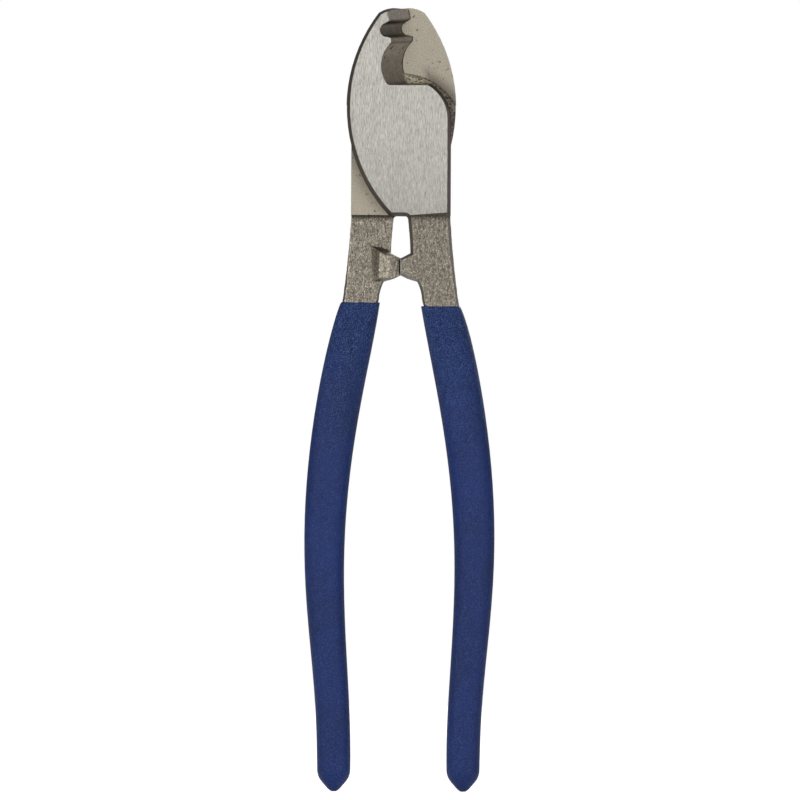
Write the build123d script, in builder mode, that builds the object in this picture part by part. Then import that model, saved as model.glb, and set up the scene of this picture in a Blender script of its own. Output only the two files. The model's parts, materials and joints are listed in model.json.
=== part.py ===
from build123d import *
import os

# Hand cable cutter, 250 mm long. Two copies of one forging cross at a pivot and shear against each other.
# +Z runs up the tool to the jaws, -Y is the ground front face, the halves meet on the plane Y = 0.
# The origin is the top of the gap between the shanks, by which the tool hangs on a peg.
# All outlines are drawn from the pivot: x to the right, y up the tool.

# Overall sizes
PIVOT_Z = 25.7            # pivot above the top of the hanging gap
PLATE = 7.0               # thickness of one half at the head
DRAFT = 9.6               # forging draft, degrees, both ways from the mating plane
FACE_GAP = 0.02           # each ground mating face stands back this far from Y = 0
STOP_GAP = 0.02           # each stop face stands back this far from X = 0

# Head
BACK_R = 50.0             # back of the blade, one arc from tip to crotch
BACK_CENTRE = (32.5, 9.0)
BACK_TOP = 44.0           # the arc runs past the tip before the nose is ground
NOSE_R = 9.3              # nose of the tip
NOSE_CENTRE = (-2.2, 31.5)
NOSE_LINE_END = (12.0, 39.4)  # the end of the tip slopes down towards the cutting edge
HALF_WIDTH = 15.9         # centre line to the straight side of the head
SHOULDER_R = 13.9         # rounded corner between the ledge and the straight side
SHOULDER_Y = 5.0
NOTCH_R = 2.25            # wire notch near the tip
NOTCH_CENTRE = (2.3, 34.35)
TOOTH_TOP = (3.6, 31.8)   # flat land between the notch and the cable recess
TOOTH_BOTTOM = (3.6, 30.3)
LEDGE_Y = 16.83           # floor of the cable recess
BEVEL = Vector(-7.0, -7.0, -0.9)  # slope of the cutting bevel across the plate
FRONT_STEP_Y = -25.5      # lower end of the ground front face, on the centre line
FRONT_STEP_SLOPE = 4.4    # degrees, rising to the right
BACK_STEP_Y = -25.2       # lower end of the ground mating face
STEP_LENGTH = 1.3         # run of the rounded step
RELIEF_R = 20.0           # as-forged pocket in the mating face round the pivot
RELIEF_INNER_R = 14.0
RELIEF_DEPTH = 0.8
RELIEF_START = 80.0       # degrees, counter-clockwise from +X
RELIEF_ANGLE = 112.0

# Shank and stop
STEP_DROP = 0.4           # rough forging stands back this far from a ground face
SHANK_FACE = 4.4          # half thickness of the steel where it enters the grip
GRIP_TOP_Y = -53.0
SHANK_END_Y = -56.5       # the flat shank ends here, and the rounded tang goes on inside the grip
SHANK_END_INNER_X = 8.0
SHANK_END_OUTER_X = 19.4
STOP_TOP = -38.9          # stop face between the shanks
STOP_BOTTOM = -44.5
PAD_FACE = 5.4            # top of the raised pad behind the stop
PAD_EDGE_DROP = 1.5       # the pad falls away towards the stop face
PAD_RIDGE = (3.9, PAD_FACE)
PAD_FOOT = (
    (-10.4, -34.6), (-4.9, -35.4), (-3.05, -37.3), (-STOP_GAP, STOP_TOP),
    (-STOP_GAP, STOP_BOTTOM), (-4.9, -46.4), (-11.6, -48.0),
)
PAD_TOP = (
    (-6.6, -36.9), (-4.9, -38.1), (-2.3, -38.1), (-0.4, -38.85),
    (-0.4, -44.6), (-2.3, -45.3), (-6.8, -45.4),
)

# Grips: (height, centre, width, thickness) down the sleeve
GRIP_STATIONS = (
    (-64.0, 15.3, 13.7, 11.6),
    (-84.0, 19.35, 14.1, 11.8),
    (-108.0, 22.65, 13.6, 11.4),
    (-134.0, 23.9, 12.75, 10.8),
    (-160.0, 22.75, 11.6, 10.2),
    (-182.0, 21.15, 10.9, 9.8),
    (-204.3, 20.6, 10.5, 9.4),
)
GRIP_SHOULDER_R = 6.0            # rounds the shoulder of the tip
RIGHT_GRIP_MOUTH = (-53.9, 12.75, 12.6, 10.4)
LEFT_GRIP_MOUTH = (-52.8, 12.75, 12.6, 10.4)
GRIP_MOUTH_CORNER = 1.6          # radius, close round the square steel
GRIP_END = -209.1
GRIP_END_FLAT = 2.2
GRIP_WALL = 1.3
GRIP_CORNER = 0.42               # corner radius over thickness, further down
TANG_START = (-55.0, 13.4, 10.4, 7.8)
TANG_START_CORNER = 2.6

# Pivot
JOURNAL_D = 10.0
RUNNING_FIT = 0.02        # radial
THREAD_D = 8.0
TAPPED_DEPTH = 5.2
COUNTERBORE_D = 19.0
COUNTERBORE_DEPTH = 1.5
WASHER_D = 18.0
WASHER_T = 1.6
SPRING_D = 16.0
SPRING_T = 0.9
SPRING_HEIGHT = 1.4
NUT_FLATS = 13.0
NUT_HEIGHT = 6.5
NUT_HEX_HEIGHT = 4.8
NUT_COLLAR_D = 11.6
INSERT_D = 10.2
INSERT_HEIGHT = 1.4
INSERT_LIP_D = 9.2
INSERT_LIP = 0.4
NUT_COLLAR_ROUND = 0.8
NUT_CHAMFER = 0.5
NUT_CORNER_R = 7.3        # the hexagon's corners are turned down to this
BOLT_CLEARANCE = 0.2
STUD_PROUD = 0.8
STUD_TIP_GAP = 0.2
STUD_CHAMFER = 0.6
SOCKET_FLATS = 4.0
SOCKET_DEPTH = 3.0

washer_seat = PLATE - COUNTERBORE_DEPTH + FACE_GAP
spring_seat = washer_seat + WASHER_T
nut_seat = spring_seat + SPRING_HEIGHT
nut_top = nut_seat + NUT_HEIGHT
stud_end = nut_top + STUD_PROUD


def depth(y):
    """Plane seen from the front, at depth y, with its origin on the pivot axis."""
    return Plane(origin=(0, y, PIVOT_Z), x_dir=(1, 0, 0), z_dir=(0, -1, 0))


def behind(y):
    """Plane seen from behind, at depth y, with its origin on the pivot axis."""
    return Plane(origin=(0, y, PIVOT_Z), x_dir=(-1, 0, 0), z_dir=(0, 1, 0))


def side(slope):
    """Plane seen from the right: x is the tool's +Y, extrusions run across the tool at this slope."""
    return Plane(origin=(0, 0, PIVOT_Z), x_dir=(0, 1, 0), z_dir=Vector(1, 0, 0).rotate(Axis.Y, -slope))


def on_back(y):
    """Point of the blade's back at height y."""
    x = BACK_CENTRE[0] - (BACK_R**2 - (y - BACK_CENTRE[1]) ** 2) ** 0.5
    return (x, y)


def on_shoulder(y):
    """Point of the rounded shoulder at height y."""
    centre_x = HALF_WIDTH - SHOULDER_R
    x = centre_x + (SHOULDER_R**2 - (y - SHOULDER_Y) ** 2) ** 0.5
    return (x, y)


def shank_outer_edge():
    """Outer edge of the shank, from inside the grip up to the head."""
    Line((SHANK_END_OUTER_X, SHANK_END_Y), (18.6, -52.8))
    ThreePointArc((18.6, -52.8), (16.95, -39.5), (HALF_WIDTH, BACK_STEP_Y))


def station_plane(height, centre, slope, hand):
    """Plane across a handle, square to its centre line, which drifts outwards by slope."""
    origin = (hand * centre, 0, PIVOT_Z + height)
    return Plane(origin=origin, x_dir=(1, 0, hand * slope), z_dir=(hand * slope, 0, -1))


def handle_sections(start, start_corner, wall, hand):
    """Planes, widths, thicknesses and corner radii down a handle, one wall inside the grip's stations."""
    height, centre, width, thickness = start
    sections = [(station_plane(height, centre, 0, hand), width, thickness, start_corner)]
    last = len(GRIP_STATIONS) - 1
    for index, (height, centre, width, thickness) in enumerate(GRIP_STATIONS):
        above = GRIP_STATIONS[max(index - 1, 0)]
        below = GRIP_STATIONS[min(index + 1, last)]
        slope = 0 if index == last else (below[1] - above[1]) / (above[0] - below[0])
        inner_thickness = thickness - 2 * wall
        plane = station_plane(height, centre, slope, hand)
        sections.append((plane, width - 2 * wall, inner_thickness, GRIP_CORNER * inner_thickness))
    return sections


def forging():
    """One half as forged, ground and trimmed, with its blade to the left and its handle to the right."""
    with BuildPart() as half:
        # Front side of the die: head, shank and stop in one outline
        with BuildSketch(depth(0)):
            with BuildLine():
                ThreePointArc(on_back(BACK_TOP), on_back(BACK_CENTRE[1]), on_back(-25.0))
                Polyline(on_back(-25.0), (-3.4, -25.7), (1.2, -25.7))
                ThreePointArc((1.2, -25.7), (1.9, -26.0), (2.15, -26.8))
                ThreePointArc((2.15, -26.8), (2.75, -32.0), (3.05, -37.3))
                Polyline((3.05, -37.3), (-1.6, -39.75), (-1.6, -43.8), (0.0, STOP_BOTTOM))
                ThreePointArc((0.0, STOP_BOTTOM), (2.2, -45.7), (5.2, -46.4))
                ThreePointArc((5.2, -46.4), (6.0, -48.3), (6.75, -52.3))
                Polyline(
                    (6.75, -52.3), (SHANK_END_INNER_X, SHANK_END_Y), (SHANK_END_OUTER_X, SHANK_END_Y),
                )
                shank_outer_edge()
                Line((HALF_WIDTH, BACK_STEP_Y), (HALF_WIDTH, SHOULDER_Y))
                ThreePointArc((HALF_WIDTH, SHOULDER_Y), on_shoulder(12.0), on_shoulder(18.4))
                Polyline(on_shoulder(18.4), (on_shoulder(18.4)[0], BACK_TOP), on_back(BACK_TOP))
            make_face()
        extrude(amount=PLATE, taper=DRAFT)

        # Back side of the die: the shank alone
        with BuildSketch(depth(0)):
            with BuildLine():
                Line((HALF_WIDTH, BACK_STEP_Y), (2.1, BACK_STEP_Y))
                ThreePointArc((2.1, BACK_STEP_Y), (2.75, -32.0), (3.05, -37.3))
                Polyline((3.05, -37.3), (5.2, -46.4))
                ThreePointArc((5.2, -46.4), (6.0, -48.3), (6.75, -52.3))
                Polyline(
                    (6.75, -52.3), (SHANK_END_INNER_X, SHANK_END_Y), (SHANK_END_OUTER_X, SHANK_END_Y),
                )
                shank_outer_edge()
            make_face()
        extrude(amount=-PLATE, taper=DRAFT)

        # Front of the shank: a small rounded step under the ground face, then a slope to the handle
        with BuildSketch(side(FRONT_STEP_SLOPE)):
            with BuildLine():
                ThreePointArc(
                    (-PLATE, FRONT_STEP_Y),
                    (-PLATE + 0.7 * STEP_DROP, FRONT_STEP_Y - 0.4 * STEP_LENGTH),
                    (-PLATE + STEP_DROP, FRONT_STEP_Y - STEP_LENGTH),
                )
                Polyline(
                    (-PLATE + STEP_DROP, FRONT_STEP_Y - STEP_LENGTH),
                    (-SHANK_FACE, GRIP_TOP_Y),
                    (-SHANK_FACE, SHANK_END_Y - 2),
                    (-PLATE - 1, SHANK_END_Y - 2),
                    (-PLATE - 1, FRONT_STEP_Y),
                    (-PLATE, FRONT_STEP_Y),
                )
            make_face()
        extrude(amount=30, both=True, mode=Mode.SUBTRACT)

        # Back: the ground mating face, the same step, and the slope to the handle
        with BuildSketch(side(0)):
            with BuildLine():
                ThreePointArc(
                    (-FACE_GAP, BACK_STEP_Y),
                    (-0.7 * STEP_DROP, BACK_STEP_Y - 0.4 * STEP_LENGTH),
                    (-STEP_DROP, BACK_STEP_Y - STEP_LENGTH),
                )
                Polyline(
                    (-STEP_DROP, BACK_STEP_Y - STEP_LENGTH),
                    (SHANK_FACE, GRIP_TOP_Y),
                    (SHANK_FACE, SHANK_END_Y - 2),
                    (PLATE + 1, SHANK_END_Y - 2),
                    (PLATE + 1, BACK_TOP + 2),
                    (-FACE_GAP, BACK_TOP + 2),
                    (-FACE_GAP, BACK_STEP_Y),
                )
            make_face()
        extrude(amount=30, both=True, mode=Mode.SUBTRACT)

        # Raised pad behind the stop
        with BuildSketch(behind(0)):
            with BuildLine():
                Polyline(*PAD_FOOT, close=True)
            make_face()
        with BuildSketch(behind(PAD_FACE)):
            with BuildLine():
                Polyline(*PAD_TOP, close=True)
            make_face()
        loft(ruled=True)
        with BuildSketch(Plane.XY.offset(PIVOT_Z + GRIP_TOP_Y)):
            with BuildLine():
                Polyline(
                    PAD_RIDGE, (0.0, PAD_FACE - PAD_EDGE_DROP), (-1.0, PAD_FACE), (PAD_RIDGE[0], PLATE),
                    close=True,
                )
            make_face()
        extrude(amount=BACK_STEP_Y - GRIP_TOP_Y, mode=Mode.SUBTRACT)

        # Rounded tang inside the grip
        tang = handle_sections(TANG_START, TANG_START_CORNER, GRIP_WALL, 1)
        for section_plane, width, thickness, corner in tang:
            with BuildSketch(section_plane):
                RectangleRounded(width, thickness, corner)
        loft()

        # Stop face, ground flat
        with BuildSketch(depth(0)):
            with BuildLine():
                Polyline(
                    (-3, STOP_TOP + 2), (STOP_GAP, STOP_TOP + 2),
                    (STOP_GAP, STOP_BOTTOM - 1.5), (-3, STOP_BOTTOM - 1.5),
                    close=True,
                )
            make_face()
        extrude(amount=PLATE, mode=Mode.SUBTRACT)

        # Cutting edge: tip, wire notch, tooth, cable recess and ledge, bevelled across the plate
        with BuildSketch(depth(0)):
            with BuildLine():
                Polyline((2.6, 48.0), (2.34, 40.3), (2.98, 37.35), (1.7, 36.52))
                ThreePointArc((1.7, 36.52), (NOTCH_CENTRE[0] - NOTCH_R, NOTCH_CENTRE[1]), (2.28, 32.1))
                Polyline((2.28, 32.1), TOOTH_TOP, TOOTH_BOTTOM)
                ThreePointArc(TOOTH_BOTTOM, (0.45, 23.2), (1.93, 17.9))
                ThreePointArc((1.93, 17.9), (2.55, 17.15), (3.6, LEDGE_Y))
                Polyline((3.6, LEDGE_Y), (30.0, LEDGE_Y), (30.0, 48.0), (2.6, 48.0))
            make_face()
        extrude(amount=BEVEL.length * 1.1, dir=BEVEL, mode=Mode.SUBTRACT)

        # Nose of the tip, drafted like the back of the blade
        with BuildSketch(depth(0)):
            with BuildLine():
                nose = CenterArc(NOSE_CENTRE, NOSE_R, 90, 60)
                Polyline(
                    nose @ 1, (-14.0, (nose @ 1).Y), (-14.0, 50.0), (12.0, 50.0), NOSE_LINE_END, nose @ 0,
                )
            make_face()
        extrude(amount=PLATE, taper=-DRAFT, mode=Mode.SUBTRACT)

        # As-forged pocket in the mating face
        with BuildSketch(depth(0)):
            with BuildLine():
                rim = CenterArc((0, 0), RELIEF_R, RELIEF_START, RELIEF_ANGLE)
                inner_rim = CenterArc((0, 0), RELIEF_INNER_R, RELIEF_START, RELIEF_ANGLE)
                Line(rim @ 0, inner_rim @ 0)
                Line(rim @ 1, inner_rim @ 1)
            make_face()
        extrude(amount=RELIEF_DEPTH, mode=Mode.SUBTRACT)
    return half.part


blank = forging()
pivot_axis = Axis((0, 0, PIVOT_Z), (0, 1, 0))

with BuildPart() as front_jaw:
    add(blank)
    with Locations(behind(0)):
        Hole(radius=THREAD_D / 2, depth=TAPPED_DEPTH)
front_jaw.part.label = "front_jaw"

with BuildPart() as rear_jaw:
    add(blank, rotation=(0, 0, 180))
    with Locations(behind(PLATE)):
        CounterBoreHole(
            radius=JOURNAL_D / 2 + RUNNING_FIT,
            counter_bore_radius=COUNTERBORE_D / 2,
            counter_bore_depth=COUNTERBORE_DEPTH,
        )
rear_jaw.part.label = "rear_jaw"

with BuildPart() as pivot_stud:
    with BuildSketch(behind(-TAPPED_DEPTH + STUD_TIP_GAP)):
        Circle(THREAD_D / 2)
    extrude(amount=stud_end + TAPPED_DEPTH - STUD_TIP_GAP)
    ends = pivot_stud.faces().sort_by(Axis.Y)
    chamfer(ends[0].edges() + ends[-1].edges(), STUD_CHAMFER)
    with BuildSketch(behind(-FACE_GAP)):
        Circle(JOURNAL_D / 2)
    extrude(amount=washer_seat + FACE_GAP)
    with BuildSketch(behind(stud_end)):
        RegularPolygon(SOCKET_FLATS / 2, 6, major_radius=False)
    extrude(amount=-SOCKET_DEPTH, mode=Mode.SUBTRACT)
pivot_stud.part.label = "pivot_stud"

with BuildPart() as flat_washer:
    with BuildSketch(behind(washer_seat)):
        Circle(WASHER_D / 2)
        Circle(THREAD_D / 2 + BOLT_CLEARANCE, mode=Mode.SUBTRACT)
    extrude(amount=WASHER_T)
    chamfer(flat_washer.faces().sort_by(Axis.Y)[-1].edges().sort_by(SortBy.RADIUS)[-1], WASHER_T / 5)
flat_washer.part.label = "flat_washer"

with BuildPart() as disc_spring:
    with BuildSketch(Plane.XY.offset(PIVOT_Z)):
        with BuildLine():
            Polyline(
                (SPRING_D / 2, spring_seat),
                (THREAD_D / 2 + BOLT_CLEARANCE, nut_seat - SPRING_T),
                (THREAD_D / 2 + BOLT_CLEARANCE, nut_seat),
                (SPRING_D / 2, spring_seat + SPRING_T),
                close=True,
            )
        make_face()
    revolve(axis=pivot_axis)
disc_spring.part.label = "disc_spring"

with BuildPart() as lock_nut:
    with BuildSketch(behind(nut_seat)):
        RegularPolygon(NUT_FLATS / 2, 6, major_radius=False)
    extrude(amount=NUT_HEIGHT)
    with BuildSketch(Plane.XY.offset(PIVOT_Z)):
        with BuildLine():
            Polyline(
                (0, nut_seat),
                (NUT_FLATS / 2, nut_seat),
                (NUT_CORNER_R, nut_seat + NUT_CHAMFER),
                (NUT_CORNER_R, nut_seat + NUT_HEX_HEIGHT - NUT_CHAMFER),
                (NUT_COLLAR_D / 2, nut_seat + NUT_HEX_HEIGHT),
                (NUT_COLLAR_D / 2, nut_top - NUT_COLLAR_ROUND),
                (NUT_COLLAR_D / 2 - NUT_COLLAR_ROUND, nut_top),
                (0, nut_top),
                close=True,
            )
        make_face()
    revolve(axis=pivot_axis, mode=Mode.INTERSECT)
    with Locations(behind(nut_top)):
        CounterBoreHole(
            radius=THREAD_D / 2,
            counter_bore_radius=INSERT_LIP_D / 2,
            counter_bore_depth=INSERT_LIP + INSERT_HEIGHT,
        )
    with BuildSketch(behind(nut_top - INSERT_LIP)):
        Circle(INSERT_D / 2)
    extrude(amount=-INSERT_HEIGHT, mode=Mode.SUBTRACT)
lock_nut.part.label = "lock_nut"

with BuildPart() as nut_insert:
    with BuildSketch(behind(nut_top - INSERT_LIP)):
        Circle(INSERT_D / 2)
        Circle(THREAD_D / 2, mode=Mode.SUBTRACT)
    extrude(amount=-INSERT_HEIGHT)
nut_insert.part.label = "nut_insert"


def sleeve(mouth, hand):
    """Dipped vinyl sleeve, still solid: rounded sections down the handle and a blunt pointed tip."""
    with BuildPart() as cover:
        for section_plane, width, thickness, corner in handle_sections(mouth, GRIP_MOUTH_CORNER, 0, hand):
            with BuildSketch(section_plane):
                RectangleRounded(width, thickness, corner)
        loft()
        shoulder, centre, width, thickness = GRIP_STATIONS[-1]
        end_thickness = GRIP_END_FLAT * thickness / width
        with BuildSketch(station_plane(shoulder, centre, 0, hand)):
            RectangleRounded(width, thickness, GRIP_CORNER * thickness)
        with BuildSketch(station_plane(GRIP_END, centre, 0, hand)):
            RectangleRounded(GRIP_END_FLAT, end_thickness, GRIP_CORNER * end_thickness)
        loft(ruled=True)
        shoulder_z = PIVOT_Z + shoulder
        shoulder = cover.edges().filter_by_position(Axis.Z, shoulder_z - 0.01, shoulder_z + 0.01)
        fillet(shoulder, GRIP_SHOULDER_R)
    return cover.part


right_cover = sleeve(RIGHT_GRIP_MOUTH, 1)
left_cover = sleeve(LEFT_GRIP_MOUTH, -1)

with BuildPart() as right_grip:
    add(right_cover)
    add(front_jaw.part, mode=Mode.SUBTRACT)
right_grip.part.label = "right_grip"

with BuildPart() as left_grip:
    add(left_cover)
    add(rear_jaw.part, mode=Mode.SUBTRACT)
left_grip.part.label = "left_grip"

os.makedirs("parts", exist_ok=True)
for piece in (
    front_jaw, rear_jaw, pivot_stud, flat_washer, disc_spring, lock_nut, nut_insert,
    left_grip, right_grip,
):
    export_step(piece.part, f"parts/{piece.part.label}.step")
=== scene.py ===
"""Looks of the hand cable cutter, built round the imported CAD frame.

Working lengths are in millimetres from the pivot, in the tool's own axes: x to the right, y to the
back, z up towards the jaws. The front half is worked as it stands, and the rear half is the same shape
turned half a turn.
"""
import json
import math

import bmesh
import bpy
from mathutils import Matrix, Vector, noise
from mathutils.bvhtree import BVHTree


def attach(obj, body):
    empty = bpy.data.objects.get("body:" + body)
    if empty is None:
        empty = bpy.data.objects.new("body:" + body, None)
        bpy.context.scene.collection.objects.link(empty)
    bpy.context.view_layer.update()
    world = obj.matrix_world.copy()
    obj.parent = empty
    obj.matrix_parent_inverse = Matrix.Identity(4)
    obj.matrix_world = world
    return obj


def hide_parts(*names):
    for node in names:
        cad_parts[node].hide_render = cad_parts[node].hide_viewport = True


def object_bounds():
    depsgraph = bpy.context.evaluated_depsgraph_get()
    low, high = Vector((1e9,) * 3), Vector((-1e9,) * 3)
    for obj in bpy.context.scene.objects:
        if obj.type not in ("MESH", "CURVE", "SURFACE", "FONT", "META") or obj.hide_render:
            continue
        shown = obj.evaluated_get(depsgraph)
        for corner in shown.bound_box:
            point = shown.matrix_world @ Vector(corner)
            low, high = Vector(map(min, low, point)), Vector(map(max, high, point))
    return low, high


MM = 0.001

# Places on the forgings
STEP_HEIGHT = -25.3       # the rough shank starts below this
GRIP_MOUTH = -56.0        # below this the steel is out of sight
NOSE_HEIGHT = 38.0        # the nose of the cutting profile is above this
CUT_FOOT = 15.0           # the whole cutting profile is above this
CUT_REACH = 9.5           # and its bevels are left of this
CUT_SLOPE = Vector((-7.0, -7.0, -0.9)).normalized()
POCKET_R = 21.0           # the pocket's wall lies inside this radius
POCKET_DEPTH = 0.8
BORE_R = 13.0             # edges round the pivot stay as they are inside this radius
BORE_MOUTH = -5.6         # and behind this
STOP_FACE = 0.05          # the stop face lies within this of the centre plane
PAD_FOOT_FACE = 4.4       # the raised pad stands out of the shank beyond this
STEP_MARGIN = 0.4         # edges this near the ground step stay as they are

# Work on the forgings
FLAT_FACE = 0.95          # a face whose normal is this near the tool's thickness is a flat one
ON_SLOPE = 0.03           # a face whose normal is this near square to the cut's slope is a bevel
BEVEL_LEFT = -0.25        # and its normal points no further left than this
SLACK = 0.01              # allowance on a depth read from the mesh
WELD = 1e-4               # points nearer than this are one point
FLUSH_ANGLE = math.radians(0.4)       # faces that meet flatter than this are one face
EDGE_BREAK = 0.13         # softened ground edges
BROKEN_ANGLE = math.radians(35)
SMOOTH_ANGLE = math.radians(20)
GRID = 0.5                # mesh size on the rough shank
GRID_X = (-1.0, 20.0)
GRID_Y = (-7.0, 7.0)
GRID_SNAP = 1e-3          # a cut of the grid this near a point goes through it
PITTING = 0.13            # depth of the forging scale's pits
PITS = ((2.6, 0.35), (0.9, 0.45))     # (size, share of the depth)
STEP_FADE = 1.5           # the pits fade in over this length below the ground step
STOP_WEAR = 0.35          # share of the rounding that the stop face's edges keep
CREST = 0.25              # height of a full crest over its neighbours
PAD_RUB_AND_HIGHLIGHT = 0.14                # how much brighter the raised pad is painted: rubbed scale and a painted highlight
HARDWARE_ANGLE = math.radians(30)     # sharper edges of the hardware stay sharp

# Sizes on the grips: (height, centre) down the right one
GRIP_LINE = (
    (-50.0, 12.5), (-64.0, 15.3), (-84.0, 19.35), (-108.0, 22.65), (-134.0, 23.9),
    (-160.0, 22.75), (-182.0, 21.15), (-204.3, 20.6), (-212.0, 20.6),
)
GRIP_END = -209.1
END_GAP = 0.02            # the last ring lies at least this far above the end
TIP_ROUND = 1.3           # rounding round the flat end
TIP_SHARE = 0.7           # share of the rounding that goes inwards
TIP_LENGTH = 8.0          # the rings are closer over this last stretch
RAY_REACH = 20.0          # further out than any side of a grip
RING_STEP = 0.45
RING_POINTS = 96
BODY_SQUARENESS = 2.5     # see oval(); the sleeve is squarer near the mouth
MOUTH_SQUARENESS = 3.5
SQUARE_LENGTH = 6.0
FILM_LENGTH = 2.5         # the vinyl runs thin towards the mouth over this length
FILM_THINNING = 0.3
SIDE_SHARE = 0.3          # the sides thin less than the faces
PEBBLE = 0.05             # depth of the vinyl's wrinkles
WRINKLE_LENGTH = 18.0     # they are deepest over this length below the mouth
WRINKLE_STRETCH = 1.4     # and longer down the grip
MOUTH_WAVE = 0.7          # how far the mouth's edge waves
WAVE_LENGTH = 1.2
WAVE_SIZE = 4.0

# Mouth of the grips: (centre, half width, half thickness, squareness), and the lip's rings from
# the inner one outwards: (share of the way out, drop)
MOUTH_INNER = (12.68, 5.85, 4.3, 9.0)
MOUTH_OUTER = (12.72, 6.2, 4.95, 6.0)
LIP = ((0.0, 1.5), (0.0, 0.12), (0.35, 0.0), (0.75, 0.08), (0.95, 0.25))

# Studio, in metres from the middle of the view: (name, place, size, power)
VIEW_MIDDLE = Vector((0, 0, -0.05846))
LAMPS = (
    ("key", (-0.9, -1.1, 0.7), (0.8, 1.0), 11.2),
    ("front", (0.8, -1.4, 0.15), (0.8, 0.9), 6.6),
    ("back", (0.6, 1.3, 0.8), (1.0, 1.0), 8.0),
)


# ---------------------------------------------------------------- materials

class Paint:
    """A material with a Principled shader, and short ways to add nodes to it."""

    def __init__(self, name, metallic, roughness, **sockets):
        self.material = bpy.data.materials.new(name)
        self.material.use_nodes = True
        self.nodes = self.material.node_tree.nodes
        self.links = self.material.node_tree.links
        self.shader = self.nodes["Principled BSDF"]
        self.shader.inputs["Metallic"].default_value = metallic
        self.shader.inputs["Roughness"].default_value = roughness
        for socket, value in sockets.items():
            self.shader.inputs[socket.replace("_", " ")].default_value = value
        coordinates = self.nodes.new("ShaderNodeTexCoord")
        self.place = coordinates.outputs["Object"]

    def grain(self, size, stretch=(1, 1, 1), detail=3.0, roughness=0.6, lean=0):
        """Noise with features of about size millimetres, longer where stretch is over 1, and leaning."""
        mapping = self.nodes.new("ShaderNodeMapping")
        mapping.inputs["Rotation"].default_value = (0, math.radians(lean), 0)
        mapping.inputs["Scale"].default_value = [1 / (size * MM * s) for s in stretch]
        texture = self.nodes.new("ShaderNodeTexNoise")
        texture.inputs["Scale"].default_value = 1.0
        texture.inputs["Detail"].default_value = detail
        texture.inputs["Roughness"].default_value = roughness
        self.links.new(self.place, mapping.inputs["Vector"])
        self.links.new(mapping.outputs["Vector"], texture.inputs["Vector"])
        return texture.outputs["Fac"]

    def cells(self, size, stretch=(1, 1, 1)):
        """Distance to the nearest of many scattered points, about size millimetres apart."""
        mapping = self.nodes.new("ShaderNodeMapping")
        mapping.inputs["Scale"].default_value = [1 / (size * MM * s) for s in stretch]
        texture = self.nodes.new("ShaderNodeTexVoronoi")
        texture.feature = "SMOOTH_F1"
        texture.inputs["Scale"].default_value = 1.0
        self.links.new(self.place, mapping.inputs["Vector"])
        self.links.new(mapping.outputs["Vector"], texture.inputs["Vector"])
        return texture.outputs["Distance"]

    def ramp(self, factor, *stops):
        """Colours or greys between stops of (position, value)."""
        node = self.nodes.new("ShaderNodeValToRGB")
        elements = node.color_ramp.elements
        while len(elements) < len(stops):
            elements.new(0.5)
        for element, (position, value) in zip(elements, stops):
            element.position = position
            element.color = (*value, 1) if isinstance(value, tuple) else (value, value, value, 1)
        self.links.new(factor, node.inputs["Fac"])
        return node.outputs["Color"]

    def distance(self, axis):
        """Distance along an axis from the middle of the tool, either way, in metres."""
        split = self.nodes.new("ShaderNodeSeparateXYZ")
        size = self.nodes.new("ShaderNodeMath")
        size.operation = "ABSOLUTE"
        self.links.new(self.place, split.inputs[0])
        self.links.new(split.outputs[axis], size.inputs[0])
        return size.outputs[0]

    def across(self):
        """Distance to the side."""
        return self.distance("X")

    def through(self):
        """Distance through the tool's thickness."""
        return self.distance("Y")

    def height(self):
        """Height in the frame, in metres."""
        split = self.nodes.new("ShaderNodeSeparateXYZ")
        self.links.new(self.place, split.inputs[0])
        return split.outputs["Z"]

    def along_cut(self):
        """Height in the frame where the slope of the bevels meets the centre plane."""
        slope = self.nodes.new("ShaderNodeMath")
        slope.operation = "MULTIPLY_ADD"
        slope.inputs[1].default_value = CUT_SLOPE.z / CUT_SLOPE.x
        self.links.new(self.through(), slope.inputs[0])
        self.links.new(self.height(), slope.inputs[2])
        return slope.outputs[0]

    def attribute(self, name):
        """A number stored on the mesh's points."""
        node = self.nodes.new("ShaderNodeAttribute")
        node.attribute_name = name
        return node.outputs["Fac"]

    def from_pivot(self):
        """Distance from the pivot's axis, in metres."""
        arm = self.nodes.new("ShaderNodeVectorMath")
        arm.operation = "MULTIPLY_ADD"
        arm.inputs[1].default_value = (1, 0, 1)
        arm.inputs[2].default_value = -PIVOT
        size = self.nodes.new("ShaderNodeVectorMath")
        size.operation = "LENGTH"
        self.links.new(self.place, arm.inputs[0])
        self.links.new(arm.outputs["Vector"], size.inputs[0])
        return size.outputs["Value"]

    def span(self, output, low, high, kind="SMOOTHSTEP"):
        """0 where a length is under low, 1 where it is over high, both in millimetres."""
        node = self.nodes.new("ShaderNodeMapRange")
        node.interpolation_type = kind
        node.inputs["From Min"].default_value = low * MM
        node.inputs["From Max"].default_value = high * MM
        self.links.new(output, node.inputs["Value"])
        return node.outputs["Result"]

    def bands(self, output, *stops):
        """Greys between stops of (millimetres, value) along a length."""
        low, high = stops[0][0], stops[-1][0]
        share = self.span(output, low, high, "LINEAR")
        return self.ramp(share, *(((place - low) / (high - low), value) for place, value in stops))

    def blended(self, share, first, second):
        """first where share is 0, second where it is 1."""
        node = self.nodes.new("ShaderNodeMix")
        node.data_type = "RGBA"
        self.links.new(share, node.inputs["Factor"])
        self.links.new(first, node.inputs["A"])
        self.links.new(second, node.inputs["B"])
        return node.outputs["Result"]

    def mixed(self, first, second, kind="MULTIPLY"):
        """Two colours or greys multiplied, or joined in another way."""
        node = self.nodes.new("ShaderNodeMix")
        node.data_type = "RGBA"
        node.blend_type = kind
        node.inputs["Factor"].default_value = 1.0
        self.links.new(first, node.inputs["A"])
        self.links.new(second, node.inputs["B"])
        return node.outputs["Result"]

    def colour(self, output):
        """Gives the base colour."""
        self.links.new(output, self.shader.inputs["Base Color"])

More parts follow.
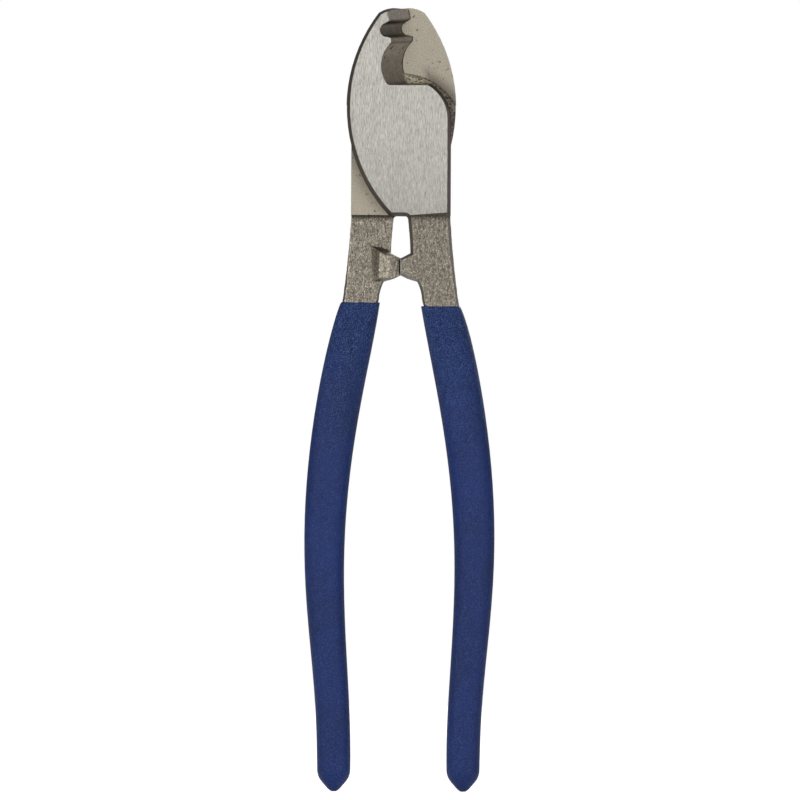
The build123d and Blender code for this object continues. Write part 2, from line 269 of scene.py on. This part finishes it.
    def rough(self, output):
        """Gives the roughness."""
        self.links.new(output, self.shader.inputs["Roughness"])

    def relief(self, *layers):
        """Bumps, each (output, height in millimetres), stacked."""
        normal = None
        for output, height in layers:
            node = self.nodes.new("ShaderNodeBump")
            node.inputs["Distance"].default_value = height * MM
            node.inputs["Strength"].default_value = 1.0
            self.links.new(output, node.inputs["Height"])
            if normal:
                self.links.new(normal, node.inputs["Normal"])
            normal = node.outputs["Normal"]
        self.links.new(normal, self.shader.inputs["Normal"])


def level(above_pivot):
    """Height in the frame of a place above the pivot, both in millimetres."""
    return PIVOT.z / MM + above_pivot


def clamped(value):
    """A value kept between 0 and 1."""
    return max(0.0, min(1.0, value))


def srgb(red, green, blue):
    """Linear colour from 0-255 screen values."""
    def linear(value):
        value /= 255
        return value / 12.92 if value <= 0.04045 else ((value + 0.055) / 1.055) ** 2.4
    return (linear(red), linear(green), linear(blue))


def brushed_front():
    """Front face: belt-ground along the tool in short fine strokes, with painted shade that darkens it
    towards the shanks.
    """
    paint = Paint("brushed_front", 1.0, 0.42)
    strokes = paint.grain(0.24, (1, 1, 9), 4.0, 0.8)
    lines = paint.grain(0.15, (1, 1, 30), 2.0)
    clouds = paint.grain(7.0, (1, 1, 2), 3.0)
    tone = paint.ramp(
        strokes, (0.3, srgb(160, 157, 148)), (0.5, srgb(224, 221, 211)), (0.7, srgb(255, 252, 243)),
    )
    tone = paint.mixed(tone, paint.ramp(lines, (0.3, 0.8), (0.7, 1.0)))
    tone = paint.mixed(tone, paint.ramp(clouds, (0.3, 0.9), (0.7, 1.0)))
    # painted shade: the face is darkened towards the bottom, where less light falls
    painted_height_shade = paint.bands(paint.height(), (level(-26), 0.78), (level(-8), 0.93), (level(20), 1.0))
    paint.colour(paint.mixed(tone, painted_height_shade))
    paint.rough(paint.ramp(strokes, (0.2, 0.5), (0.8, 0.36)))
    paint.relief((strokes, 0.05), (lines, 0.02))
    return paint.material


def ground_mating():
    """Mating face: ground flat, slightly yellowed, with fine specks, and painted shade next to the
    pocket.
    """
    paint = Paint("ground_mating", 1.0, 0.5)
    specks = paint.grain(0.35, (1, 1, 1), 4.0, 0.8)
    pits = paint.cells(1.7)
    clouds = paint.grain(5.0, (1, 1, 1), 3.0)
    tone = paint.ramp(
        specks, (0.3, srgb(154, 145, 128)), (0.5, srgb(193, 184, 167)), (0.7, srgb(219, 211, 193)),
    )
    tone = paint.mixed(tone, paint.ramp(pits, (0.08, 0.45), (0.16, 1.0)))
    tone = paint.mixed(tone, paint.ramp(clouds, (0.3, 0.93), (0.7, 1.0)))
    # painted shade: darker towards the pocket's wall, kept off the middle and the lower face
    near = paint.ramp(paint.span(paint.from_pivot(), 19.5, 24.5), (0.0, 0.42), (1.0, 1.0))
    shade_free_middle = paint.ramp(paint.span(paint.across(), 6.0, 12.0), (0.0, 1.0), (1.0, 0.0))
    shade = paint.mixed(near, shade_free_middle, "LIGHTEN")
    below = paint.ramp(paint.span(paint.height(), level(-7.7), level(0.3)), (0.0, 1.0), (1.0, 0.0))
    paint.colour(paint.mixed(tone, paint.mixed(shade, below, "LIGHTEN")))
    paint.rough(paint.ramp(specks, (0.3, 0.58), (0.7, 0.42)))
    paint.relief((specks, 0.04))
    return paint.material


def ground_bevel():
    """Cutting bevels: ground along the plate's thickness, with painted shade in the notch and corners and
    at the mating plane, and a painted highlight on the nose.
    """
    paint = Paint("ground_bevel", 1.0, 0.5)
    lines = paint.grain(0.26, (1, 6, 1), 3.0, 0.7)
    specks = paint.grain(0.5, (1, 1, 1), 4.0, 0.7)
    clouds = paint.grain(2.0, (1, 1, 1), 3.0)
    tone = paint.ramp(lines, (0.3, srgb(172, 161, 148)), (0.7, srgb(238, 226, 210)))
    tone = paint.mixed(tone, paint.ramp(clouds, (0.3, 0.8), (0.7, 1.0)))
    tone = paint.mixed(tone, paint.ramp(specks, (0.35, 0.8), (0.55, 1.0)))
    # painted light and shade up the cut: dark lines in the creases, a darker notch and foot, and a
    # brighter nose
    cut_light_and_shade = paint.bands(
        paint.along_cut(), (level(17.0), 0.5), (level(18.5), 0.78), (level(29.6), 0.78),
        (level(30.25), 0.4), (level(30.6), 0.85), (level(31.6), 0.85), (level(32.1), 0.25),
        (level(32.8), 0.5), (level(35.6), 0.48), (level(36.6), 0.12), (level(37.2), 0.5),
        (level(37.8), 1.2), (level(48.0), 1.2),
    )
    # painted shadow in the thin gap where the bevel meets the mating plane
    edge = paint.ramp(paint.span(paint.through(), 0.15, 0.5), (0.0, 0.3), (1.0, 1.0))
    paint.colour(paint.mixed(paint.mixed(tone, cut_light_and_shade), edge))
    paint.relief((lines, 0.04), (specks, 0.03))
    return paint.material


def forged_wall():
    """Drafted side walls as they left the die: dark scale, uneven."""
    paint = Paint("forged_wall", 0.9, 0.6)
    pits = paint.grain(0.5, (1, 1, 1), 4.0, 0.7)
    clouds = paint.grain(4.0, (1, 1, 1), 3.0)
    tone = paint.ramp(pits, (0.3, srgb(78, 68, 62)), (0.7, srgb(126, 114, 106)))
    paint.colour(paint.mixed(tone, paint.ramp(clouds, (0.3, 0.75), (0.7, 1.0))))
    paint.relief((pits, 0.12))
    return paint.material


def pocket_scale():
    """Pocket in the mating face: pitted and yellowish near the cable recess, with painted shade further
    round and along its outer edge by the wall.
    """
    paint = Paint("pocket_scale", 0.9, 0.5)
    pits = paint.cells(1.1)
    specks = paint.grain(0.5, (1.6, 1, 1), 4.0, 0.7)
    light = paint.ramp(
        specks, (0.38, srgb(92, 84, 70)), (0.5, srgb(160, 151, 129)), (0.62, srgb(206, 198, 174)),
    )
    # dark is the same scale in painted shade, used further round next to the other half's wall
    dark = paint.ramp(specks, (0.35, srgb(84, 75, 68)), (0.65, srgb(156, 143, 131)))
    tone = paint.blended(paint.span(paint.across(), 5.5, 10.5), light, dark)
    tone = paint.mixed(tone, paint.ramp(pits, (0.12, 0.12), (0.3, 1.0)))
    # painted shade along the pocket's outer edge, under the wall
    rim = paint.ramp(paint.span(paint.from_pivot(), 20.0, 20.9), (0.0, 1.0), (1.0, 0.3))
    paint.colour(paint.mixed(tone, rim))
    paint.relief((pits, 0.15), (specks, 0.1))
    return paint.material


def forged_shank():
    """Shanks: shot-blasted forging, finely pebbled and folded, painted brighter on crests for worn scale
    and highlight, with painted shade in hollows, at the stop seam and under the step.
    """
    paint = Paint("forged_shank", 1.0, 0.45)
    pits = paint.grain(0.36, (1, 1, 1.6), 4.0, 0.7)
    folds = paint.grain(0.6, (1, 1, 3.5), 3.0, 0.6, lean=28)
    clouds = paint.grain(6.0, (1, 1, 1), 3.0)
    tone = paint.ramp(
        pits, (0.3, srgb(102, 94, 83)), (0.5, srgb(155, 147, 133)), (0.68, srgb(212, 204, 187)),
    )
    tone = paint.mixed(tone, paint.ramp(folds, (0.36, 0.6), (0.5, 0.92), (0.66, 1.0)))
    tone = paint.mixed(tone, paint.ramp(clouds, (0.3, 0.88), (0.7, 1.0)))
    # crests painted brighter, partly worn scale and partly painted highlight; hollows get painted shade
    crests = paint.ramp(paint.attribute("crest"), (0.2, 0.5), (0.5, 1.0), (0.8, 1.8))
    tone = paint.mixed(tone, crests)
    # painted shade in the seam between the two stop faces
    seam = paint.bands(paint.across(), (0.0, 0.4), (0.2, 0.7), (0.4, 1.0), (1.0, 1.0))
    tone = paint.mixed(tone, seam)
    # painted shade just under the ground step
    step_shade = paint.span(paint.height(), level(-27.8), level(-25.5))
    paint.colour(paint.mixed(tone, paint.ramp(step_shade, (0.0, 1.0), (0.6, 0.72), (1.0, 0.3))))
    paint.rough(paint.ramp(pits, (0.3, 0.6), (0.7, 0.36)))
    paint.relief((folds, 0.25), (pits, 0.12))
    return paint.material


def worn_edge():
    """Ground edges rubbed bright."""
    paint = Paint("worn_edge", 1.0, 0.4)
    specks = paint.grain(0.4, (1, 1, 1), 3.0)
    paint.colour(paint.ramp(specks, (0.3, srgb(130, 124, 115)), (0.7, srgb(190, 184, 174))))
    return paint.material


def dipped_vinyl():
    """Grip vinyl: deep blue, satin, finely pebbled, most of all near the mouth, with pale specks on the
    raised pebbles as painted glints.
    """
    paint = Paint("dipped_vinyl", 0.0, 0.4, Specular_IOR_Level=0.36)
    pebbles = paint.grain(0.27, (1, 1, 1.3), 2.0, 0.7)
    folds = paint.grain(2.2, (1, 1, 1.6), 3.0, 0.6)
    clouds = paint.grain(14.0, (1, 1, 2), 3.0)
    near_mouth = paint.span(paint.height(), level(-105.7), level(-57.7))
    tone = paint.ramp(clouds, (0.3, srgb(0, 32, 94)), (0.7, srgb(4, 43, 116)))
    tone = paint.mixed(tone, paint.ramp(folds, (0.35, 0.9), (0.6, 1.0)))
    shallow = paint.ramp(pebbles, (0.38, 0.6), (0.5, 1.0))
    deep = paint.ramp(pebbles, (0.4, 0.4), (0.5, 1.0))
    tone = paint.mixed(tone, paint.blended(near_mouth, shallow, deep))
    # painted glints: pale specks on the raised pebbles, more of them near the mouth
    few = paint.ramp(pebbles, (0.5, 0.0), (0.64, 0.3))
    many = paint.ramp(pebbles, (0.49, 0.0), (0.61, 0.75))
    pale = paint.ramp(folds, (0.3, srgb(60, 92, 150)), (0.7, srgb(84, 114, 168)))
    paint.colour(paint.blended(paint.blended(near_mouth, few, many), tone, pale))
    paint.rough(paint.ramp(pebbles, (0.3, 0.46), (0.7, 0.34)))
    raised = paint.blended(near_mouth, paint.ramp(pebbles, (0.0, 0.3), (1.0, 0.7)), pebbles)
    paint.relief((folds, 0.12), (raised, 0.4))
    return paint.material


def zinc_hardware(name, tint, grain_size):
    """Turned and plated hardware at the back."""
    paint = Paint(name, 1.0, 0.3)
    stains = paint.grain(grain_size, (1, 1, 1), 4.0)
    fine = paint.grain(0.25, (1, 3, 1), 3.0)
    tone = paint.ramp(stains, (0.3, tuple(0.8 * c for c in tint)), (0.7, tint))
    paint.colour(paint.mixed(tone, paint.ramp(fine, (0.3, 0.9), (0.7, 1.0))))
    paint.rough(paint.ramp(stains, (0.3, 0.24), (0.7, 0.38)))
    paint.relief((fine, 0.01))
    return paint.material


def nylon_ring():
    """Locking ring of the nut: off-white nylon."""
    paint = Paint("nylon_ring", 0.0, 0.5, Subsurface_Weight=0.1)
    clouds = paint.grain(1.5, (1, 1, 1), 3.0)
    paint.colour(paint.ramp(clouds, (0.3, srgb(205, 203, 194)), (0.7, srgb(222, 220, 212))))
    paint.relief((clouds, 0.03))
    return paint.material


# ---------------------------------------------------------------- forgings

JAW_PAINTS = ("face", "mating", "bevel", "wall", "shank", "pocket", "edge")


def to_workshop(turned):
    """Matrix from the frame's metres to millimetres from the pivot, turned for the rear half."""
    shift = Matrix.Translation(-PIVOT)
    scale = Matrix.Scale(1 / MM, 4)
    turn = Matrix.Rotation(math.pi, 4, "Z") if turned else Matrix.Identity(4)
    return turn @ scale @ shift


def jaw_region(face):
    """Which finish a face of the forging has."""
    centre = face.calc_center_median()
    normal = face.normal
    if centre.z < STEP_HEIGHT:
        return "shank"
    if abs(normal.y) > FLAT_FACE:
        if normal.y < 0:
            return "face"
        return "mating" if centre.y > -POCKET_DEPTH / 2 else "pocket"
    if centre.z > NOSE_HEIGHT and abs(normal.y) < 1 - FLAT_FACE:
        return "bevel"
    on_slope = abs(normal.dot(CUT_SLOPE)) < ON_SLOPE and normal.x > BEVEL_LEFT
    if on_slope and centre.z > CUT_FOOT and centre.x < CUT_REACH:
        return "bevel"
    if math.hypot(centre.x, centre.z) < POCKET_R and centre.y > -POCKET_DEPTH - SLACK:
        return "pocket"
    return "wall"


def break_edges(bm):
    """Small flats where ground faces meet walls, so that they catch the light."""
    ground = {JAW_PAINTS.index(name) for name in ("face", "mating", "bevel")}
    cut = JAW_PAINTS.index("bevel")
    mating = JAW_PAINTS.index("mating")
    edges = []
    for edge in bm.edges:
        if len(edge.link_faces) != 2 or edge.calc_face_angle(0) < BROKEN_ANGLE:
            continue
        kinds = {face.material_index for face in edge.link_faces}
        middle = (edge.verts[0].co + edge.verts[1].co) / 2
        cutting_edge = kinds == {cut, mating}
        near_pivot = math.hypot(middle.x, middle.z) < BORE_R and middle.y > BORE_MOUTH
        above_step = middle.z > STEP_HEIGHT + STEP_MARGIN
        if kinds & ground and above_step and not cutting_edge and not near_pivot:
            edges.append(edge)
    made = bmesh.ops.bevel(
        bm, geom=edges, offset=EDGE_BREAK, offset_type="OFFSET", segments=2, profile=0.5,
        affect="EDGES", clamp_overlap=True, material=-1,
    )
    for face in made["faces"]:
        face.material_index = JAW_PAINTS.index("edge")


def slice_shank(bm):
    """Cuts the visible shank into a fine grid, and returns the points that can be made rough."""
    zone = bm.faces.layers.int.new("zone")
    crest = bm.verts.layers.float.new("crest")
    for height in (STEP_HEIGHT, GRIP_MOUTH):
        bmesh.ops.bisect_plane(
            bm, geom=bm.verts[:] + bm.edges[:] + bm.faces[:], dist=WELD,
            plane_co=(0, 0, height), plane_no=(0, 0, 1),
        )
    for face in bm.faces:
        if GRIP_MOUTH < face.calc_center_median().z < STEP_HEIGHT:
            face[zone] = 1
    spans = (
        (Vector((1, 0, 0)), *GRID_X),
        (Vector((0, 1, 0)), *GRID_Y),
        (Vector((0, 0, 1)), GRIP_MOUTH, STEP_HEIGHT),
    )
    for axis, low, high in spans:
        for step in range(1, int((high - low) / GRID)):
            faces = [face for face in bm.faces if face[zone]]
            edges = list({edge for face in faces for edge in face.edges})
            verts = list({vert for face in faces for vert in face.verts})
            bmesh.ops.bisect_plane(
                bm, geom=verts + edges + faces, dist=GRID_SNAP,
                plane_co=axis * (low + step * GRID), plane_no=axis,
            )
    faces = [face for face in bm.faces if face[zone]]
    bmesh.ops.triangulate(bm, faces=faces)
    for vert in bm.verts:
        vert[crest] = 0.5
    return [v for v in bm.verts if v.link_faces and all(face[zone] for face in v.link_faces)]


def roughen_shank(bm, verts):
    """Rounds the shank's edges and pits its surface, less at the ground step and the stop face."""
    stop_face = {vert: vert.co.copy() for vert in verts if vert.co.x < STOP_FACE}
    for _ in range(2):
        bmesh.ops.smooth_vert(
            bm, verts=verts, factor=0.5, use_axis_x=True, use_axis_y=True, use_axis_z=True,
        )
    bm.normal_update()
    for vert in verts:
        fade = min(1.0, (STEP_HEIGHT - vert.co.z) / STEP_FADE)
        pit = sum((share * noise.noise(vert.co / size) for size, share in PITS), 0.5)
        vert.co -= vert.normal * PITTING * fade * clamped(pit)
    for vert, start in stop_face.items():
        vert.co = start.lerp(vert.co, STOP_WEAR)
        vert.co.x = start.x
    bm.normal_update()
    mark_crests(bm, verts)


def mark_crests(bm, verts):
    """Stores 0 in hollows, 0.5 on flats and 1 on crests, from how each point stands to its neighbours."""
    layer = bm.verts.layers.float["crest"]
    for vert in verts:
        around = [edge.other_vert(vert).co for edge in vert.link_edges]
        mean = sum(around, Vector()) / len(around)
        # the raised pad is stored brighter, for rubbed scale and a painted highlight
        rub_and_highlight = PAD_RUB_AND_HIGHLIGHT * clamped(vert.co.y - PAD_FOOT_FACE)
        out = (vert.co - mean).dot(vert.normal) / CREST
        vert[layer] = clamped(0.5 + rub_and_highlight + out)


def mark_sharp(bm):
    """Smooth shading inside each finish, and sharp edges between finishes, at corners and at the stop."""
    bm.normal_update()
    for face in bm.faces:
        face.smooth = True
    for edge in bm.edges:
        kinds = {face.material_index for face in edge.link_faces}
        edge.smooth = len(kinds) == 1 and edge.calc_face_angle(0) < SMOOTH_ANGLE
        if kinds <= {JAW_PAINTS.index("shank")}:
            on_stop = {all(vert.co.x < STOP_FACE for vert in face.verts) for face in edge.link_faces}
            edge.smooth = len(on_stop) == 1


def jaw(node, body, turned, paints):
    """One forging, with broken edges and a rough shank."""
    matrix = to_workshop(turned)
    bm = bmesh.new()
    bm.from_mesh(frame["nodes"][node].data)
    bm.transform(matrix)
    bmesh.ops.remove_doubles(bm, verts=bm.verts, dist=WELD)
    bm.normal_update()
    for face in bm.faces:
        face.material_index = JAW_PAINTS.index(jaw_region(face))
    bmesh.ops.dissolve_limit(
        bm, angle_limit=FLUSH_ANGLE, verts=bm.verts, edges=bm.edges, delimit={"MATERIAL"},
    )
    break_edges(bm)
    bm.normal_update()
    roughen_shank(bm, slice_shank(bm))
    mark_sharp(bm)
    bm.transform(matrix.inverted())
    mesh = bpy.data.meshes.new(node + "_forging")
    bm.to_mesh(mesh)
    bm.free()
    for name in JAW_PAINTS:
        mesh.materials.append(paints[name])
    return place(node + "_forging", mesh, body, "jaw_steel", node)


# ---------------------------------------------------------------- grips

def along_grip(height, hand):
    """Centre of a grip at a height."""
    for (high, x_high), (low, x_low) in zip(GRIP_LINE, GRIP_LINE[1:]):
        if low <= height <= high:
            share = (high - height) / (high - low)
            return Vector((hand * (x_high + share * (x_low - x_high)), 0, height))
    return Vector((hand * GRIP_LINE[-1][1], 0, height))


def half_sizes(tree, height, hand):
    """Centre, half width and half thickness of the CAD sleeve at a height, found from outside."""
    middle = along_grip(height, hand)
    across, through = Vector((1, 0, 0)), Vector((0, 1, 0))
    right = tree.ray_cast(middle + RAY_REACH * across, -across)[0]
    left = tree.ray_cast(middle - RAY_REACH * across, across)[0]
    front = tree.ray_cast(middle - RAY_REACH * through, through)[0]
    return (right + left) / 2, (right.x - left.x) / 2, -front.y


def oval(centre, half_width, half_thickness, squareness):
    """Ring of points on a rounded rectangle: squareness 2 is an ellipse, higher is squarer."""
    ring = []
    for index in range(RING_POINTS):
        angle = 2 * math.pi * index / RING_POINTS
        across, through = math.cos(angle), math.sin(angle)
        reach = abs(across / half_width) ** squareness + abs(through / half_thickness) ** squareness
        radius = reach ** (-1 / squareness)
        ring.append(centre + Vector((radius * across, radius * through, 0)))
    return ring


def mouth_rings(height, hand):
    """Rolled lip that closes on the steel, innermost ring first."""
    inner, outer = (
        oval(Vector((hand * centre, 0, height)), half_width, half_thickness, squareness)
        for centre, half_width, half_thickness, squareness in (MOUTH_INNER, MOUTH_OUTER)
    )
    rings = []
    for share, drop in LIP:
        fall = Vector((0, 0, drop))
        rings.append([near.lerp(far, share) - fall for near, far in zip(inner, outer)])
    return rings


def sleeve_rings(tree, top, hand):
    """Rings down the sleeve, from the mouth to the rounded end."""
    rings = mouth_rings(top, hand)
    height = top - RING_STEP
    while height > GRIP_END + END_GAP:
        centre, half_width, half_thickness = half_sizes(tree, height, hand)
        below = top - height
        squareness = BODY_SQUARENESS + MOUTH_SQUARENESS * math.exp(-below / SQUARE_LENGTH)
        thin = FILM_THINNING * math.exp(-below / FILM_LENGTH)
        turn = max(0.0, 1 - (height - GRIP_END) / TIP_ROUND)
        inset = TIP_SHARE * TIP_ROUND * (1 - math.sqrt(1 - turn ** 2))
        half_width -= SIDE_SHARE * thin + inset
        half_thickness -= thin + inset
        rings.append(oval(centre, half_width, half_thickness, squareness))
        height -= RING_STEP if height > GRIP_END + TIP_LENGTH else RING_STEP / 2
    return rings


def skin(bm, rings):
    """Closed surface through rings of points."""
    loops = [[bm.verts.new(point) for point in ring] for ring in rings]
    for upper, lower in zip(loops, loops[1:]):
        for index in range(RING_POINTS):
            after = (index + 1) % RING_POINTS
            bm.faces.new((upper[index], lower[index], lower[after], upper[after]))
    bm.faces.new(loops[-1][::-1])
    bm.faces.new(loops[0])
    bmesh.ops.recalc_face_normals(bm, faces=bm.faces)
    bm.normal_update()


def grip(node, body, hand, paint):
    """One dipped sleeve: rings as wide and thick as the CAD sleeve, a rolled mouth and a pebbled skin."""
    matrix = to_workshop(False)
    source = bmesh.new()
    source.from_mesh(frame["nodes"][node].data)
    source.transform(matrix)
    tree = BVHTree.FromBMesh(source)
    top = max(v.co.z for v in source.verts)
    source.free()

    bm = bmesh.new()
    skin(bm, sleeve_rings(tree, top, hand))
    wrinkle(bm, top)
    bm.transform(matrix.inverted())
    mesh = bpy.data.meshes.new(node + "_skin")
    bm.to_mesh(mesh)
    bm.free()
    mesh.materials.append(paint)
    mesh.shade_smooth()
    return place(node + "_skin", mesh, body, "grip_vinyl", node)


def wrinkle(bm, top):
    """Lowers the skin by a fine noise, strongest near the mouth, and waves the mouth's edge."""
    for vert in bm.verts:
        point = vert.co.copy()
        below = top - point.z
        strength = 0.5 + 0.5 * math.exp(-below / WRINKLE_LENGTH)
        value = 0.5 + 0.6 * noise.noise(Vector((point.x, point.y, point.z / WRINKLE_STRETCH)))
        vert.co -= vert.normal * PEBBLE * strength * clamped(value)
        fade = math.exp(-below / WAVE_LENGTH)
        wave = 0.5 + 0.5 * noise.noise(Vector((point.x / WAVE_SIZE, point.y / WAVE_SIZE, 3.0)))
        vert.co.z -= MOUTH_WAVE * wave * fade


# ---------------------------------------------------------------- pieces, light and camera

def place(name, mesh, body, slot, *nodes):
    """Adds a piece that rides on a body and stands for CAD nodes."""
    piece = bpy.data.objects.new(name, mesh)
    bpy.context.scene.collection.objects.link(piece)
    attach(piece, body)
    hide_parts(*nodes)
    return piece


def dress(node, paint):
    """New material on a CAD node that stays as it is."""
    mesh = frame["nodes"][node].data
    mesh.materials.clear()
    mesh.materials.append(paint)
    mesh.set_sharp_from_angle(angle=HARDWARE_ANGLE)


def floor(floor_level):
    """Pale studio floor: white to the camera, with less glow on the tool."""
    paint = Paint("studio_floor", 0.0, 0.9, Emission_Color=(1, 1, 1, 1))
    seen = paint.nodes.new("ShaderNodeLightPath")
    glow = paint.nodes.new("ShaderNodeMapRange")
    glow.inputs["To Min"].default_value = 0.2
    glow.inputs["To Max"].default_value = 0.85
    paint.links.new(seen.outputs["Is Camera Ray"], glow.inputs["Value"])
    paint.links.new(glow.outputs["Result"], paint.shader.inputs["Emission Strength"])
    tone = paint.grain(400.0, (1, 1, 1), 2.0)
    paint.colour(paint.ramp(tone, (0.3, 0.78), (0.7, 0.82)))
    mesh = bpy.data.meshes.new("floor")
    bm = bmesh.new()
    bmesh.ops.create_circle(bm, cap_ends=True, segments=64, radius=0.7)
    bm.to_mesh(mesh)
    bm.free()
    mesh.materials.append(paint.material)
    piece = bpy.data.objects.new("floor", mesh)
    piece.location.z = floor_level
    bpy.context.scene.collection.objects.link(piece)


def softbox(name, position, target, size, power):
    """Rectangular soft lamp that faces a target."""
    light = bpy.data.lights.new(name, "AREA")
    light.shape = "RECTANGLE"
    light.size, light.size_y = size
    light.energy = power
    lamp = bpy.data.objects.new(name, light)
    lamp.location = position
    lamp.rotation_euler = (Vector(target) - Vector(position)).to_track_quat("-Z", "Y").to_euler()
    bpy.context.scene.collection.objects.link(lamp)


def studio(centre):
    """White room seen by the camera, dim room seen by the tool, and soft lamps."""
    world = bpy.data.worlds.new("studio")
    bpy.context.scene.world = world
    world.use_nodes = True
    nodes, links = world.node_tree.nodes, world.node_tree.links
    seen = nodes.new("ShaderNodeLightPath")
    room = nodes["Background"]
    room.inputs["Color"].default_value = (0.95, 0.97, 1.0, 1)
    room.inputs["Strength"].default_value = 0.18
    white = nodes.new("ShaderNodeBackground")
    white.inputs["Strength"].default_value = 1.0
    white.inputs["Color"].default_value = (1, 1, 1, 1)
    chosen = nodes.new("ShaderNodeMixShader")
    links.new(seen.outputs["Is Camera Ray"], chosen.inputs["Fac"])
    links.new(room.outputs["Background"], chosen.inputs[1])
    links.new(white.outputs["Background"], chosen.inputs[2])
    links.new(chosen.outputs["Shader"], nodes["World Output"].inputs["Surface"])
    for name, place_from_centre, size, power in LAMPS:
        softbox(name, centre + Vector(place_from_centre), centre, size, power)


def camera(centre):
    """Long lens, square on to the front, tilted a quarter of a degree as the tool lies."""
    distance, view_width, roll = 2.5, 0.25504, math.radians(0.258)
    data = bpy.data.cameras.new("camera")
    data.sensor_width = 36.0
    data.lens = data.sensor_width * distance / view_width
    data.clip_start, data.clip_end = 0.1, 20.0
    piece = bpy.data.objects.new("camera", data)
    piece.matrix_world = (
        Matrix.Translation(centre + Vector((0, -distance, 0)))
        @ Matrix.Rotation(math.pi / 2, 4, "X") @ Matrix.Rotation(roll, 4, "Z")
    )
    bpy.context.scene.collection.objects.link(piece)
    bpy.context.scene.camera = piece


# ---------------------------------------------------------------- scene

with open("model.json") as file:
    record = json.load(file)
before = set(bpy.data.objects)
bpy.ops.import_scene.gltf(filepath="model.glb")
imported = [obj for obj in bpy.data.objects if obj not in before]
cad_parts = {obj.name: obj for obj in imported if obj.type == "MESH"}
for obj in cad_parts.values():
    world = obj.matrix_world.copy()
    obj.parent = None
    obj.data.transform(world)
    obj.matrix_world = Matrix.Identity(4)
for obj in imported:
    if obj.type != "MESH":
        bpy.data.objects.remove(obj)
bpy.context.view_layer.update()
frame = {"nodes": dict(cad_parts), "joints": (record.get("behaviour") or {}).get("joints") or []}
PIVOT = Vector(frame["joints"][0]["pos_m"])

jaw_paints = {
    "face": brushed_front(), "mating": ground_mating(), "bevel": ground_bevel(),
    "wall": forged_wall(), "shank": forged_shank(), "pocket": pocket_scale(), "edge": worn_edge(),
}
vinyl = dipped_vinyl()
jaw("front_jaw", "front_half", False, jaw_paints)
jaw("rear_jaw", "rear_half", True, jaw_paints)
grip("right_grip", "front_half", 1, vinyl)
grip("left_grip", "rear_half", -1, vinyl)
zinc = zinc_hardware("zinc_plate", srgb(186, 186, 184), 1.5)
dress("pivot_stud", zinc_hardware("black_bolt", srgb(92, 90, 88), 1.2))
dress("flat_washer", zinc)
dress("lock_nut", zinc)
dress("disc_spring", zinc_hardware("spring_steel", srgb(120, 116, 112), 2.0))
dress("nut_insert", nylon_ring())

lowest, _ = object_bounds()
floor(lowest.z)
studio(VIEW_MIDDLE)
camera(VIEW_MIDDLE)
bpy.context.scene.view_settings.view_transform = "Standard"
